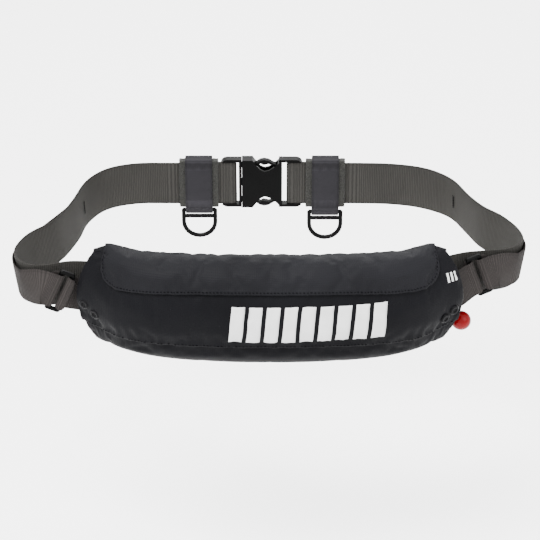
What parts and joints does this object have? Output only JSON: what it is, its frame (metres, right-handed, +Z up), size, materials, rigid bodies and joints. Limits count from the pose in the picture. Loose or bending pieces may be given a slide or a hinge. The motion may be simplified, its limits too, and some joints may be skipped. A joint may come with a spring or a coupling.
{
  "type": "inflatable belt pack",
  "caption": "Long stuffed cloth pouch on a fastened webbing waist belt, with a side-release buckle, D-rings on keepers and a pull ball for inflation.",
  "frame": {"origin": "on the waist's upright axis, in the middle of the fastened belt's loop, at the belt's mid-height", "axes": "+Z up along the wearer's body, +X along the pouch to the viewer's right as the picture shows it, +Y from the pouch across the waist to the buckle"},
  "size_m": [0.5191, 0.3001, 0.125],
  "materials": {
    "nylon": "coated black nylon, slightly glossy, soft wrinkles",
    "flap_nylon": "coated black nylon, slightly glossy",
    "webbing": "ribbed grey-brown polyester webbing, matt",
    "strap": "ribbed grey-brown webbing, matt",
    "tab_cloth": "dark grey woven cloth tape, matt",
    "pile": "short looped pile of a touch fastener, olive grey",
    "plastic": "moulded black acetal, satin",
    "stud": "black painted press stud, satin",
    "ball": "moulded red plastic, glossy"
  },
  "bodies": {
    "pack": {"pouch_body": "nylon", "front_panel": "nylon", "pouch_flap": "flap_nylon", "belt": "webbing", "side_strap_left": "strap", "side_strap_right": "strap", "pouch_tab_left": "strap", "pouch_tab_right": "strap", "adjuster_left": "plastic", "adjuster_right": "plastic", "buckle_socket": "plastic", "buckle_plug": "plastic", "keeper_left": "pile", "keeper_right": "pile", "dring_tab_left": "tab_cloth", "dring_tab_right": "tab_cloth", "snap_left_end": "stud", "snap_left_front": "stud", "snap_right_end": "stud", "snap_right_front": "stud", "pull_ball": "ball"},
    "dring_left": {"dring_left": "plastic"},
    "dring_right": {"dring_right": "plastic"}
  },
  "joints": [
    {"name": "left_ring_swing", "type": "hinge", "parent": "pack", "child": "dring_left", "pos_m": [-0.0765, 0.11715, -0.03299], "axis": [1, 0, 0], "range_deg": [-95, 95]},
    {"name": "right_ring_swing", "type": "hinge", "parent": "pack", "child": "dring_right", "pos_m": [0.0595, 0.11715, -0.03549], "axis": [1, 0, 0], "range_deg": [-95, 95]}
  ]
}
